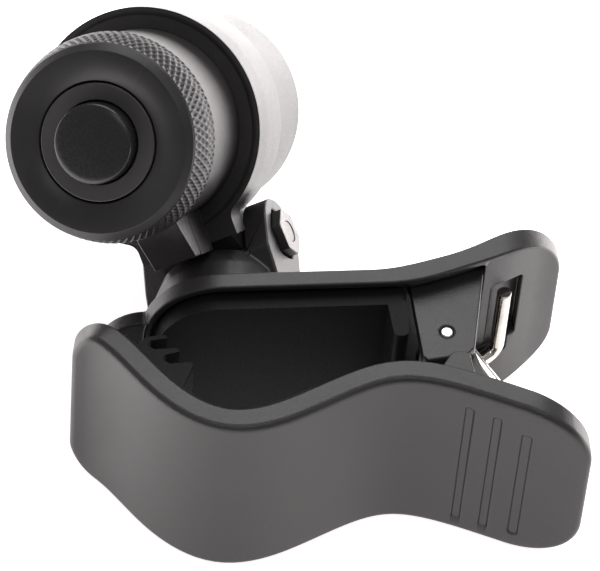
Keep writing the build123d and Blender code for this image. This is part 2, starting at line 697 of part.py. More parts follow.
def make_hub_screws():
    screws = []
    for angle in (90, 210, 330):
        screw = rod(1.0, 17.2, 17.78, 6.8) + rod(0.45, 17.5, 20.4, 6.8)
        screws.append(on_axis(Rot(0, 0, angle) * screw))
    return Compound(children=screws)


def make_power_button():
    cap = rod(BUTTON_R, 20.6, BUTTON_FRONT)
    cap = fillet(cap.edges().filter_by(GeomType.CIRCLE).sort_by(Axis.Z)[-1:], 0.9)
    return on_axis(cap + rod(5.2, 20.2, 21.3) + rod(1.5, 18.2, 20.5))


def make_button_spring():
    return on_axis(Pos(0, 0, 19.15) * helix_coil(2.4, 0.15, 0.55, 1.6))


def make_dial_spring():
    return on_axis(Pos(0, 0, 21.0) * helix_coil(8.7, 0.25, 0.7, 2.5))


# ---- assembly ------------------------------------------------------------------------------------------

def all_parts():
    clip = {
        "upper_jaw": make_upper_jaw(),
        "lower_jaw": make_lower_jaw(),
        "upper_pad": make_upper_pad(),
        "lower_pad": make_lower_pad(),
        "pivot_pin": make_pivot_pin(),
        "torsion_spring": make_torsion_spring(),
    }
    yoke = {
        "yoke": make_yoke(),
        "hinge_bolt": make_hinge_bolt(),
        "hinge_nut": make_hinge_nut(),
        "friction_washers": make_friction_washers(),
        "swivel_washer": make_swivel_washer(),
        "swivel_screw": make_swivel_screw(),
    }
    head = {
        "collar_housing": make_collar_housing(),
        "dial_barrel": make_dial_barrel(),
        "display_barrel": make_display_barrel(),
        "display_lens": make_display_lens(),
        "display_mask": make_display_mask(),
        "meter_leds": make_meter_leds(),
        "note_leds": make_note_leds(),
        "display_board": make_display_board(),
        "main_board": make_main_board(),
        "board_chips": make_board_chips(),
        "board_screws": make_board_screws(),
        "piezo_disc": make_piezo_disc(),
        "tact_switch": make_tact_switch(),
        "dial_contacts": make_dial_contacts(),
        "battery_tray": make_battery_tray(),
        "coin_cell": make_coin_cell(),
        "battery_contact_positive": make_contact_positive(),
        "battery_contact_negative": make_contact_negative(),
        "shuttle_dial": make_shuttle_dial(),
        "dial_wiper": make_dial_wiper(),
        "dial_hub": make_dial_hub(),
        "hub_screws": make_hub_screws(),
        "power_button": make_power_button(),
        "button_spring": make_button_spring(),
        "dial_spring": make_dial_spring(),
    }
    parts = dict(clip)
    parts.update({name: in_yoke(shape) for name, shape in yoke.items()})
    parts.update({name: in_head(shape) for name, shape in head.items()})
    return {name: Location(PIVOT) * shape for name, shape in parts.items()}


def main():
    os.makedirs("parts", exist_ok=True)
    for name, shape in all_parts().items():
        export_step(shape, f"parts/{name}.step")


main()
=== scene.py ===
import json
from math import acos, cos, hypot, pi, radians, sin, tan

import bmesh
import bpy
import numpy as np
from mathutils import Matrix, Vector
from mathutils.bvhtree import BVHTree


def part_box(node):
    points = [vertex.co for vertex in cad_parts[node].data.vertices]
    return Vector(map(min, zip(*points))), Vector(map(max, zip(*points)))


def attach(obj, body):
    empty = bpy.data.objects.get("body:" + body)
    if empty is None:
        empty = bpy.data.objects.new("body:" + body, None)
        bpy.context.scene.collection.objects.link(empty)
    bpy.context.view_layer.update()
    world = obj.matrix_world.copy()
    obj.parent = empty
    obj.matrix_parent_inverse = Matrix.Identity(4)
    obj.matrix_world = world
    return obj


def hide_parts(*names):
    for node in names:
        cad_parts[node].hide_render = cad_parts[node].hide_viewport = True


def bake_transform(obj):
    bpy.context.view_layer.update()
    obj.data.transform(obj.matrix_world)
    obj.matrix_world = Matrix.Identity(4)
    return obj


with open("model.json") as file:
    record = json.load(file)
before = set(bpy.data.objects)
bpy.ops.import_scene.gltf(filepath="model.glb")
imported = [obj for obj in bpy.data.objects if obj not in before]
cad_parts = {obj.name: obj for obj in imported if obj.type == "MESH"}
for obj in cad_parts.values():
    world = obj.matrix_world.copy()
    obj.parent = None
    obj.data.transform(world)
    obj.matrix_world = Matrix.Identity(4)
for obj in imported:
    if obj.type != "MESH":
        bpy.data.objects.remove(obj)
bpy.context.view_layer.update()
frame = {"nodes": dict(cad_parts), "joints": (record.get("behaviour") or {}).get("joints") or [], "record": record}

# Looks of the clip-on tuner. Sizes are in millimetres, and MM turns them into metres.
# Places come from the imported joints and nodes: the clip's pivot, the hinge bolt and the head's axis.
# HEAD has its origin on the head's axis, X along the hinge bolt and Z towards the dial.
# CLIP has its origin at the clip's pivot.

MM = 0.001
JOINTS = {joint["name"]: joint for joint in frame["joints"]}
NODES = frame["nodes"]

PIVOT = Vector(JOINTS["clip_pivot"]["pos_m"])
HINGE = Vector(JOINTS["head_tilt"]["pos_m"])
BOLT = Vector(JOINTS["head_tilt"]["axis"]).normalized()
AXIS = Vector(JOINTS["dial_turn"]["axis"]).normalized()


def axes(origin, x, z):
    """Frame with the given X and Z directions."""
    turn = Matrix((x, z.cross(x), z)).transposed().to_4x4()
    return Matrix.Translation(origin) @ turn


def foot(point, origin, direction):
    """Point of a line that is nearest to a point."""
    return origin + direction * (point - origin).dot(direction)


HEAD = axes(foot(HINGE, Vector(JOINTS["dial_turn"]["pos_m"]), AXIS), BOLT, AXIS)
CLIP = Matrix.Translation(PIVOT)


def span(node, matrix=HEAD, axis=2):
    """Lowest and highest place of a CAD node along one axis of a frame, in mm."""
    inverse = matrix.inverted()
    places = [(inverse @ v.co)[axis] / MM for v in NODES[node].data.vertices]
    return min(places), max(places)


def reach(node, matrix=HEAD):
    """Largest distance of a CAD node from a frame's Z axis, in mm."""
    inverse = matrix.inverted()
    return max((inverse @ v.co).xy.length for v in NODES[node].data.vertices) / MM


# ---- materials -----------------------------------------------------------------------------------------

FLAT_POINTINESS = 0.5
EDGE_POINTINESS = 0.62
DRAWN_LINE = 0.3            # width of the drawing lines on metal


def times(colour, factor):
    return tuple(factor * c for c in colour)


class Nodes:
    """Small helper to build one material."""

    def __init__(self, name):
        self.material = bpy.data.materials.new(name)
        self.material.use_nodes = True
        self.tree = self.material.node_tree
        self.shader = self.tree.nodes["Principled BSDF"]
        self.place = self.add("ShaderNodeTexCoord").outputs["Object"]

    def add(self, kind, **values):
        node = self.tree.nodes.new(kind)
        for key, value in values.items():
            setattr(node, key, value)
        return node

    def link(self, a, b):
        self.tree.links.new(a, b)

    def noise(self, size, detail=2.0, place=None):
        """Noise whose lumps are about size mm across."""
        node = self.add("ShaderNodeTexNoise")
        node.inputs["Scale"].default_value = 1 / (size * MM)
        node.inputs["Detail"].default_value = detail
        self.link(place or self.place, node.inputs["Vector"])
        return node.outputs["Fac"]

    def cells(self, size):
        """Distance to the nearest of scattered points that are about size mm apart."""
        node = self.add("ShaderNodeTexVoronoi")
        node.inputs["Scale"].default_value = 1 / (size * MM)
        self.link(self.place, node.inputs["Vector"])
        return node.outputs["Distance"]

    def span(self, value, low, high, to_low, to_high):
        """Value moved from the range low to high into the range to_low to to_high."""
        node = self.add("ShaderNodeMapRange")
        for socket, number in zip(("From Min", "From Max", "To Min", "To Max"), (low, high, to_low, to_high)):
            node.inputs[socket].default_value = number
        self.link(value, node.inputs["Value"])
        return node.outputs["Result"]

    def maths(self, operation, a, b):
        """Sum or product of two sockets or numbers."""
        node = self.add("ShaderNodeMath", operation=operation)
        for socket, value in zip(node.inputs, (a, b)):
            if isinstance(value, (int, float)):
                socket.default_value = value
            else:
                self.link(value, socket)
        return node.outputs[0]

    def colours(self, factor, low, high):
        """Mix of two colours."""
        node = self.add("ShaderNodeMix", data_type="RGBA")
        node.inputs[6].default_value = (*low, 1)
        node.inputs[7].default_value = (*high, 1)
        self.link(factor, node.inputs[0])
        return node.outputs[2]

    def bump(self, height, depth, strength=1.0):
        """Relief of the given depth in mm."""
        node = self.add("ShaderNodeBump")
        node.inputs["Strength"].default_value = strength
        node.inputs["Distance"].default_value = depth * MM
        self.link(height, node.inputs["Height"])
        return node.outputs["Normal"]

    def edges(self):
        """0 on open surfaces, rising to 1 on convex edges."""
        point = self.add("ShaderNodeNewGeometry").outputs["Pointiness"]
        return self.span(point, FLAT_POINTINESS, EDGE_POINTINESS, 0.0, 1.0)

    def set(self, **values):
        """Sets or links the shader's own sockets and gives the finished material."""
        for name, value in values.items():
            socket = self.shader.inputs[name.replace("_", " ")]
            if isinstance(value, bpy.types.NodeSocket):
                self.link(value, socket)
            elif isinstance(value, tuple):
                socket.default_value = (*value, 1)
            else:
                socket.default_value = value
        return self.material


def moulded(name, colour, rough, grain=0.16, depth=0.03):
    """Moulded plastic with a fine spark-eroded grain, slight clouding and a painted highlight that makes convex
    edges paler.
    """
    n = Nodes(name)
    cloud = n.noise(9.0, 3.0)
    fine = n.noise(grain, 2.0)
    edge_highlight = n.edges()
    shade = n.maths("ADD", n.span(cloud, 0.3, 0.7, 0.0, 0.5), n.span(fine, 0.3, 0.7, 0.0, 0.3))
    # Painted highlight: convex edges are mixed further towards the paler colour.
    shade = n.maths("ADD", shade, n.maths("MULTIPLY", edge_highlight, 0.5))
    pale = times(colour, 1.5)
    roughness = n.maths("ADD", n.span(cloud, 0.3, 0.7, rough - 0.03, rough + 0.03),
                        n.span(fine, 0.3, 0.7, -0.05, 0.05))
    relief = n.bump(fine, depth)
    return n.set(Base_Color=n.colours(shade, colour, pale), Roughness=roughness, Normal=relief)


def smooth_plastic(name, colour, rough):
    """Polished plastic with faint handling marks."""
    n = Nodes(name)
    cloud = n.noise(4.0, 4.0)
    fine = n.noise(0.4, 3.0)
    relief = n.bump(cloud, 0.002, 0.5)
    return n.set(Base_Color=n.colours(cloud, colour, times(colour, 1.4)),
                 Roughness=n.span(fine, 0.35, 0.7, rough, rough + 0.08), Normal=relief)


def rubber(name, colour):
    """Matt rubber with a fine grain."""
    n = Nodes(name)
    fine = n.noise(0.22, 3.0)
    cloud = n.noise(5.0, 3.0)
    return n.set(Base_Color=n.colours(cloud, colour, times(colour, 1.6)),
                 Roughness=n.span(fine, 0.3, 0.7, 0.56, 0.7), Normal=n.bump(fine, 0.012),
                 Specular_IOR_Level=0.25)


def metal(name, colour, rough, stretch=(1, 1, 1)):
    """Bare or plated metal. The noise is stretched into fine drawing lines along one direction."""
    n = Nodes(name)
    mapping = n.add("ShaderNodeMapping")
    mapping.inputs["Scale"].default_value = stretch
    n.link(n.place, mapping.inputs["Vector"])
    lines = n.noise(DRAWN_LINE, 4.0, mapping.outputs[0])
    cloud = n.noise(2.5, 3.0)
    dark = times(colour, 0.78)
    return n.set(Base_Color=n.colours(n.span(cloud, 0.35, 0.65, 0, 1), dark, colour), Metallic=1.0,
                 Roughness=n.span(lines, 0.3, 0.7, rough - 0.06, rough + 0.1),
                 Normal=n.bump(lines, 0.003))


def board(name):
    """Green solder mask over copper tracks."""
    n = Nodes(name)
    tracks = n.cells(1.3)
    ridge = n.span(tracks, 0.25, 0.35, 0, 1)
    return n.set(Base_Color=n.colours(ridge, (0.01, 0.10, 0.04), (0.02, 0.16, 0.06)), Roughness=0.35,
                 Normal=n.bump(ridge, 0.02))


def diffuser(name):
    """Milky cover of the display's unlit segments."""
    n = Nodes(name)
    cloud = n.noise(0.5, 3.0)
    return n.set(Base_Color=n.colours(cloud, (0.09, 0.10, 0.09), (0.16, 0.17, 0.15)), Roughness=0.5,
                 Normal=n.bump(cloud, 0.005))


def smoked_glass(name):
    """Dark clear plastic of the lens."""
    n = Nodes(name)
    cloud = n.noise(3.0, 3.0)
    return n.set(Base_Color=n.colours(cloud, (0.16, 0.16, 0.18), (0.20, 0.20, 0.22)),
                 Roughness=n.span(cloud, 0.3, 0.7, 0.02, 0.06), Transmission_Weight=1.0, IOR=1.49)


BLACK = (0.0255, 0.0235, 0.0238)
MATERIALS = {
    "black_plastic": moulded("black_plastic", BLACK, 0.36),
    "dial_plastic": moulded("dial_plastic", (0.017, 0.016, 0.017), 0.40, 0.12, 0.006),
    "hub_plastic": moulded("hub_plastic", (0.040, 0.037, 0.038), 0.36, 0.12, 0.006),
    "button_plastic": smooth_plastic("button_plastic", (0.014, 0.014, 0.015), 0.24),
    "pad_rubber": rubber("pad_rubber", (0.005, 0.005, 0.005)),
    "nickel_steel": metal("nickel_steel", (0.80, 0.77, 0.71), 0.16),
    "blackened_steel": metal("blackened_steel", (0.20, 0.19, 0.19), 0.34),
    "nylon": moulded("nylon", (0.05, 0.05, 0.05), 0.5),
    "smoked_lens": smoked_glass("smoked_lens"),
    "black_ink": moulded("black_ink", (0.012, 0.012, 0.012), 0.7, 0.3, 0.004),
    "led_diffuser": diffuser("led_diffuser"),
    "circuit_board": board("circuit_board"),
    "chip_epoxy": moulded("chip_epoxy", (0.015, 0.015, 0.015), 0.6),
    "brass_disc": metal("brass_disc", (0.80, 0.58, 0.25), 0.28),
    "cell_steel": metal("cell_steel", (0.70, 0.70, 0.69), 0.28, (1, 6, 1)),
}


def paint(obj, slot):
    obj.data.materials.clear()
    obj.data.materials.append(MATERIALS[slot])


# ---- mesh helpers --------------------------------------------------------------------------------------

NORMAL_WEIGHT = 80
WELD_GAP = 1e-6             # metres
FLAT_ANGLE = 0.6            # CAD triangles nearer to one plane than this are joined, in degrees
EDGE_ANGLE = 28             # edges sharper than this are rounded, in degrees
EDGE_SEGMENTS = 3


def new_piece(name, points, faces, slot, body, matrix):
    """Mesh from points in mm in the given frame, riding on a body."""
    mesh = bpy.data.meshes.new(name)
    mesh.from_pydata([matrix @ (Vector(p) * MM) for p in points], [], faces)
    mesh.update()
    bm = bmesh.new()
    bm.from_mesh(mesh)
    bmesh.ops.recalc_face_normals(bm, faces=bm.faces)
    bm.to_mesh(mesh)
    bm.free()
    mesh.polygons.foreach_set("use_smooth", [True] * len(mesh.polygons))
    obj = bpy.data.objects.new(name, mesh)
    bpy.context.scene.collection.objects.link(obj)
    paint(obj, slot)
    shade = obj.modifiers.new("shade", "WEIGHTED_NORMAL")
    shade.weight = NORMAL_WEIGHT
    if body:
        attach(obj, body)
    return obj


def rounded(corners, steps=5):
    """Open outline of (a, b, radius) corners, each turned into an arc of that radius."""
    points = []
    last = len(corners) - 1
    for i, (a, b, radius) in enumerate(corners):
        here = Vector((a, b))
        if radius == 0 or i in (0, last):
            points.append((a, b))
            continue
        before = (Vector(corners[i - 1][:2]) - here).normalized()
        after = (Vector(corners[i + 1][:2]) - here).normalized()
        half = before.angle(after) / 2
        back = radius / tan(half)
        middle = here + (before + after).normalized() * (radius / sin(half))
        start = here + before * back - middle
        end = here + after * back - middle
        for k in range(steps + 1):
            point = middle + start.slerp(end, k / steps).normalized() * radius
            points.append((point.x, point.y))
    return points


def lathe(name, outline, slot, body, matrix, steps, relief=None, closed=False, half_turn=180):
    """Turned piece from an outline of (radius, height). An outline point at radius 0 closes the piece.

    It reaches half_turn degrees each way round from the X axis.
    """
    points = []
    rings = []
    whole = half_turn == 180
    for radius, height in outline:
        if radius == 0:
            rings.append([len(points)] * steps)
            points.append((0, 0, height))
            continue
        rings.append(list(range(len(points), len(points) + steps)))
        for k in range(steps):
            angle = radians(half_turn) * (2 * k / (steps if whole else steps - 1) - 1)
            r = radius + (relief(angle, radius, height) if relief else 0)
            points.append((r * cos(angle), r * sin(angle), height))
    faces = []
    pairs = list(zip(rings, rings[1:] + rings[:1])) if closed else list(zip(rings, rings[1:]))
    for one, two in pairs:
        for k in range(steps if whole else steps - 1):
            m = (k + 1) % steps
            corners = list(dict.fromkeys((one[k], one[m], two[m], two[k])))
            if len(corners) > 2:
                faces.append(corners)
    if not whole:
        faces += [[ring[0] for ring in rings], [ring[-1] for ring in rings]]
    return new_piece(name, points, faces, slot, body, matrix)


def soften(obj, width, clamp):
    """Rounds the edges of a CAD node with modifiers, and leaves its mesh alone."""
    weld = obj.modifiers.new("weld", "WELD")
    weld.merge_threshold = WELD_GAP
    flat = obj.modifiers.new("flat", "DECIMATE")
    flat.decimate_type = "DISSOLVE"
    flat.angle_limit = radians(FLAT_ANGLE)
    bevel = obj.modifiers.new("round", "BEVEL")
    bevel.width = width * MM
    bevel.segments = EDGE_SEGMENTS
    bevel.limit_method = "ANGLE"
    bevel.angle_limit = radians(EDGE_ANGLE)
    bevel.use_clamp_overlap = clamp
    bevel.miter_outer = "MITER_ARC"
    bevel.harden_normals = False
    obj.data.polygons.foreach_set("use_smooth", [True] * len(obj.data.polygons))
    normal = obj.modifiers.new("shade", "WEIGHTED_NORMAL")
    normal.keep_sharp = False
    normal.weight = NORMAL_WEIGHT


# ---- lower jaw -----------------------------------------------------------------------------------------

LOWER_THICK = 2.85
LOWER_FRONT_R = 5.3
LOWER_BACK_R = 7.4
LOWER_INSET = 2.2           # width of the rounded edge's own faces
LOWER_LINE_Z = 5.0          # height above the pivot at which the CAD jaw's wave is read
LOWER_COLUMNS = 150
WAY_STEP = 0.8

MARK_X = (2.75, 5.80, 8.85)          # finger marks, from the pivot
MARK_LOW = (-11.4, -11.3, -10.6)
MARK_HIGH = (10.3, 10.1, 8.6)
MARK_HALF = 0.52
MARK_FLOOR_HALF = MARK_HALF - 0.09
MARK_LINE_HALF = MARK_HALF + 0.03
MARK_FLOOR_DEPTH = 0.10
MARK_LINE_DEPTH = 0.24
MARK_CLEAR = 0.95                    # even rows of the grid keep this far from a mark's middle
MARK_ROWS = (-0.13, -0.10, -0.04, 0.02, 0.06, 0.3)      # rows each side of a mark's edge

LINE_STEP = 0.2             # between the points read along the jaw
LINE_MARGIN = 0.02
SMOOTH_REACH = 12           # points each way, for smoothing the wave
SMOOTH_WIDTH = 4.0
ABOVE = 0.05                # metres, start of a ray over the jaw

ROW_GAP = 0.1               # least way between an arc's end and a row of the grid
CORNER_GAP = 0.05
UPRIGHT_WAY = 9             # the edge turns upright over this last part of the plate


def tree_of(node):
    mesh = NODES[node].data
    return BVHTree.FromPolygons([v.co for v in mesh.vertices], [p.vertices for p in mesh.polygons])


def jaw_line(node, z):
    """Upper face of a jaw in side view at height z above the pivot, in mm: x, y, slope and length along it."""
    tree = tree_of(node)
    low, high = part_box(node)
    x = np.arange(low.x + LINE_MARGIN * MM, high.x - LINE_MARGIN * MM, LINE_STEP * MM)
    y = []
    for value in x:
        hit = tree.ray_cast(Vector((value, high.y + ABOVE, PIVOT.z + z * MM)), Vector((0, -1, 0)))[0]
        y.append(hit.y)
    x = (x - PIVOT.x) / MM
    y = (np.array(y) - PIVOT.y) / MM
    kernel = np.exp(-0.5 * (np.arange(-SMOOTH_REACH, SMOOTH_REACH + 1) / SMOOTH_WIDTH) ** 2)
    before = 2 * y[0] - y[SMOOTH_REACH:0:-1]
    after = 2 * y[-1] - y[-2:-SMOOTH_REACH - 2:-1]
    y = np.convolve(np.concatenate((before, y, after)), kernel / kernel.sum(), "valid")
    slope = np.gradient(y, x)
    length = np.concatenate(([0], np.cumsum(np.hypot(np.diff(x), np.diff(y)))))
    return x, y, slope, length


def smooth_step(t):
    """Smooth rise from 0 to 1."""
    t = min(max(t, 0.0), 1.0)
    return t * t * (3 - 2 * t)


class Plate:
    """Bent plate with a rounded outline. A point is given by its way along the plate, its height and depth."""

    def __init__(self, line, half, front_radius, back_radius):
        self.x, self.y, self.slope, self.length = line
        self.full = float(self.length[-1])
        self.half = half
        self.front = front_radius
        self.back = back_radius

    def at(self, s, z, depth):
        """Place of a point, in mm from the pivot."""
        x = float(np.interp(s, self.length, self.x))
        y = float(np.interp(s, self.length, self.y))
        slope = float(np.interp(s, self.length, self.slope))
        size = hypot(1, slope)
        upright = smooth_step((s - self.full + UPRIGHT_WAY) / UPRIGHT_WAY)
        across = Vector((-slope / size, 1 / size)).lerp(Vector((0, size)), upright)
        return (x + across.x * depth, y + across.y * depth, z)

    def way_of(self, x):
        return float(np.interp(x, self.x, self.length))

    def rows(self, ways, inset, arc_steps=24):
        """Way, height and outward direction of the outline's points on one side.

        The ways are those of the inner grid.
        """
        tip, heel = self.front, self.full - self.back
        arc = [k / arc_steps for k in range(1, arc_steps + 1)]
        front = [pi - pi / 2 * k for k in arc]
        front += [acos((s - tip) / (tip - inset)) for s in ways if inset + ROW_GAP < s < tip - ROW_GAP]
        back = [pi / 2 * (1 - k) for k in [0] + arc]
        reach_in = self.back - inset
        back += [acos((s - heel) / reach_in)
                 for s in ways if heel + CORNER_GAP < s < heel + reach_in - ROW_GAP]
        rows = [(0.0, self.half - tip, -1.0, 0.0)]
        rows += [(tip * (1 + cos(a)), self.half - tip * (1 - sin(a)), cos(a), sin(a))
                 for a in sorted(front, reverse=True)]
        rows += [(s, self.half, 0.0, 1.0) for s in ways if tip + CORNER_GAP < s < heel - CORNER_GAP]
        rows += [(heel + self.back * cos(a), self.half - self.back * (1 - sin(a)), cos(a), sin(a))
                 for a in sorted(back, reverse=True)]
        return rows

    def mesh(self, profile, ways, columns, relief=None):
        """Points and faces of the closed plate. The profile runs round its edge as (inset, depth)."""
        rows = self.rows(ways, profile[-1][0])
        shares = [2 * j / columns - 1 for j in range(columns + 1)]
        points = []
        rings = []
        last = len(rows) - 1
        for inset, depth in profile:
            ring = []
            s, z = rows[0][:2]
            ring += [(s + inset, z * share, depth) for share in shares]
            for s, z, ns, nz in rows[1:last]:
                ring.append((s - ns * inset, z - nz * inset, depth))
            s, z = rows[last][:2]
            ring += [(s - inset, -z * share, depth) for share in shares]
            for s, z, ns, nz in reversed(rows[1:last]):
                ring.append((s - ns * inset, nz * inset - z, depth))
            rings.append(list(range(len(points), len(points) + len(ring))))
            points += ring
        faces = []
        count = len(rings[0])
        for one, two in zip(rings, rings[1:]):
            for k in range(count):
                m = (k + 1) % count
                faces.append((one[k], one[m], two[m], two[k]))
        for ring in (rings[0], rings[-1]):
            faces += self.fill(points, ring, shares, last, relief if ring is rings[-1] else None)
        return [self.at(*p) for p in points], faces

    def fill(self, points, ring, shares, last, relief):
        """Grid over one face of the plate, inside its innermost ring."""
        columns = len(shares) - 1
        grid = [ring[:columns + 1]]
        for i in range(1, last):
            top = ring[columns + i]
            bottom = ring[len(ring) - i]
            s, z, depth = points[top]
            row = [bottom]
            for share in shares[1:-1]:
                height = share * z
                lift = relief(s, height) if relief else 0
                row.append(len(points))
                points.append((s, height, depth + lift))
            row.append(top)
            grid.append(row)
        end = ring[columns + last:columns + last + columns + 1]
        grid.append(list(reversed(end)))
        faces = []
        for one, two in zip(grid, grid[1:]):
            for j in range(columns):
                faces.append((one[j], one[j + 1], two[j + 1], two[j]))
        return faces


def mark_relief(plate):
    """Three long finger marks: a thin groove round each, its floor a little lower than the face."""
    marks = [(plate.way_of(x), low + MARK_HALF, high - MARK_HALF)
             for x, low, high in zip(MARK_X, MARK_LOW, MARK_HIGH)]

    def relief(s, z):
        away = min(hypot(s - way, z - min(max(z, low), high)) for way, low, high in marks)
        if away <= MARK_FLOOR_HALF:
            return MARK_FLOOR_DEPTH
        if away <= MARK_LINE_HALF:
            return MARK_LINE_DEPTH
        return 0.0

    return relief, [way for way, low, high in marks]


def make_lower_jaw():
    """Waved lower jaw, with its finger marks in the mesh."""
    low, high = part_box("lower_jaw")
    half = (high.z - low.z) / 2 / MM
    plate = Plate(jaw_line("lower_jaw", LOWER_LINE_Z), half, LOWER_FRONT_R, LOWER_BACK_R)
    relief, middles = mark_relief(plate)
    ways = list(np.arange(WAY_STEP, plate.full, WAY_STEP))
    for way in middles:
        ways = [s for s in ways if abs(s - way) > MARK_CLEAR]
        for row in MARK_ROWS:
            ways += [way - (MARK_HALF + row), way + (MARK_HALF + row)]
        ways += [way - 0.2, way, way + 0.2]
    profile = rounded([(LOWER_INSET, 0, 0), (0, 0, 0.28), (0, -LOWER_THICK, 0.85),
                       (LOWER_INSET, -LOWER_THICK, 0)], 8)
    points, faces = plate.mesh(profile, sorted(ways), LOWER_COLUMNS, relief)
    jaw = new_piece("lower_jaw_shell", points, faces, "black_plastic", "lower_clip", CLIP)
    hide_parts("lower_jaw")


def prism(name, outline, z0, z1, slot, body, matrix, round_by):
    """Upright slab with rounded edges."""
    points = [(x, y, z) for z in (z0, z1) for x, y in outline]
    count = len(outline)
    faces = [tuple(range(count)), tuple(range(count, 2 * count))]
    faces += [(k, (k + 1) % count, count + (k + 1) % count, count + k) for k in range(count)]
    piece = new_piece(name, points, faces, slot, body, matrix)
    bevel = piece.modifiers.new("round", "BEVEL")
    bevel.width = round_by * MM
    bevel.segments = 3
    bevel.angle_limit = radians(25)
    piece.modifiers.move(1, 0)


LUG_R = 2.9
LUG_OUT = 9.4
LUG_IN = 8.2
BUMP_IN = 11.3
BUMP_Y = -4.35


def make_lugs():
    """Ears of the lower jaw on the pivot pin, and the bumps on its edge beside them."""
    round_end = [(LUG_R * cos(radians(a)), LUG_R * sin(radians(a))) for a in range(-10, 191, 8)]
    lug = [(4.9, -8.6)] + round_end + [(-4.3, -6.6)]
    half = (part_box("lower_jaw")[1].z - PIVOT.z) / MM
    bump = rounded([(2.3, -8.0, 0), (1.95, BUMP_Y, 0.8), (0.0, BUMP_Y, 0.8), (-1.7, -6.9, 0)])
    for side, label in ((1, "near"), (-1, "far")):
        z0, z1 = sorted((side * LUG_IN, side * LUG_OUT))
        prism("jaw_lug_" + label, lug, z0, z1, "black_plastic", "lower_clip", CLIP, 0.15)
        z0, z1 = sorted((side * BUMP_IN, side * (half - 0.05)))
        prism("jaw_bump_" + label, bump, z0, z1, "black_plastic", "lower_clip", CLIP, 0.18)


# ---- head ----------------------------------------------------------------------------------------------

KNURL_COUNT = 80
KNURL_DEPTH = 0.2
KNURL_STEPS = 8
KNURL_LENGTH = 1.6          # along the dial's axis
KNURL_ROWS = 3.0
KNURL_FADE = 0.2            # the net rises over this height at both ends
LINE_HALF = 0.3             # half width of a net line, as a share of its spacing
DIAL_TAPER = ((0.0, 0.0), (2.0, 0.1), (3.5, 0.42), (5.0, 0.8))     # from the back: height and loss of radius


def make_dial():
    """Dial with a net of raised lines round its rim, a smooth bevel and a flat face."""
    back, front = span("shuttle_dial")
    outer = reach("shuttle_dial")
    bore = reach_at_front("dial_hub") + 0.2
    start = back + 0.15
    stop = start + KNURL_ROWS * KNURL_LENGTH
    heights, losses = zip(*DIAL_TAPER)

    def rim(height):
        return outer - float(np.interp(height - back, heights, losses))

    def relief(angle, radius, height):
        if not start < height < stop or radius < rim(height) - 0.001:
            return 0
        a = angle / (2 * pi) * KNURL_COUNT
        b = (height - start) / KNURL_LENGTH
        near = min(abs((a + b + 0.5) % 1 - 0.5), abs((a - b + 0.5) % 1 - 0.5))
        fade = min((height - start) / KNURL_FADE, (stop - height) / KNURL_FADE, 1)
        return -KNURL_DEPTH * smooth_step(near / LINE_HALF) * fade

    rows = int(KNURL_ROWS * KNURL_STEPS)
    places = [start + KNURL_LENGTH * k / KNURL_STEPS for k in range(rows + 1)]
    band = [(rim(height), height) for height in places]
    foot_edge = rounded([(outer - 1.6, back, 0), (outer - 0.1, back, 0.08), (outer - 0.1, start, 0)], 4)
    neck = rim(stop)
    face = outer - 1.7
    web = back + 1.8
    nose = rounded([(neck - 0.06, stop + 0.03, 0), (neck - 0.12, stop + 0.2, 0.15), (face, front, 0.18),
                    (bore + 0.12, front, 0), (bore, front - 0.12, 0), (bore, front - 1.7, 0.2),
                    (bore - 0.2, front - 1.8, 0), (bore - 0.2, web, 0), (outer - 1.6, web, 0)], 6)
    dial = lathe("knurled_dial", foot_edge + band + nose, "dial_plastic", "dial", HEAD,
                 KNURL_COUNT * KNURL_STEPS, relief, closed=True)
    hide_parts("shuttle_dial")


def reach_at_front(node, depth=0.5):
    """Radius of a CAD node near its front end, in mm."""
    inverse = HEAD.inverted()
    top = span(node)[1]
    near = [inverse @ v.co for v in NODES[node].data.vertices]
    return max(p.xy.length / MM for p in near if p.z / MM > top - depth)


DOME_STEPS = 12
DOME_DROP = 0.22
DOME_MARGIN = 0.62          # from the dome's rim to the button's side


def make_button():
    """Push button with a slightly domed face and a soft edge."""
    back, front = span("power_button")
    radius = reach_at_front("power_button", 3.0)
    flange = reach("power_button")
    rim = radius - DOME_MARGIN
    shares = [k / DOME_STEPS for k in range(DOME_STEPS + 1)]
    dome = [(rim * share, front - DOME_DROP * share ** 2) for share in shares]
    edge = rounded([(rim, front - DOME_DROP, 0), (radius, front - 0.42, 0.42), (radius, back + 3.1, 0.1),
                    (flange, back + 3.0, 0), (flange, back + 2.0, 0), (1.5, back + 2.0, 0), (1.5, back, 0),
                    (0, back, 0)], 8)
    button = lathe("push_button", dome + edge[1:], "button_plastic", "button", HEAD, 128)
    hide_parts("power_button")


COLLAR_INSIDE = 13.0
SLEEVE_STEPS = 240
SLEEVE_HALF_TURN = 126      # degrees; the rest is left open for the tray
SKIN = 0.02                 # how far the sleeve stands off the CAD collar


def collar_points():
    """Points of the CAD collar's outer wall on the side away from the neck, in mm in the head's frame."""
    inverse = HEAD.inverted()
    points = [inverse @ v.co / MM for v in NODES["collar_housing"].data.vertices]
    return [p for p in points if p.xy.length > COLLAR_INSIDE and p.y > 0]


def make_collar_sleeve():
    """Smooth outer skin of the collar, open where the battery tray slides out."""
    high = collar_points()
    back = min(p.z for p in high)
    front = max(p.z for p in high)
    wide = max(p.xy.length for p in high)
    narrow = max(p.xy.length for p in high if p.z < back + 0.2)
    outline = rounded([(narrow - 0.6, back - SKIN, 0), (narrow + SKIN, back - SKIN, 0.25),
                       (wide + SKIN, front + SKIN, 0.35), (wide - 0.9, front + SKIN, 0),
                       (wide - 0.9, front - 0.5, 0), (narrow - 0.6, back + 0.5, 0)], 6)
    lathe("collar_sleeve", outline, "black_plastic", "head", HEAD, SLEEVE_STEPS, closed=True,
          half_turn=SLEEVE_HALF_TURN)


COLLAR_MARKS = ((12.7, 22), (12.7, -45))     # radius and angle of the ejector marks


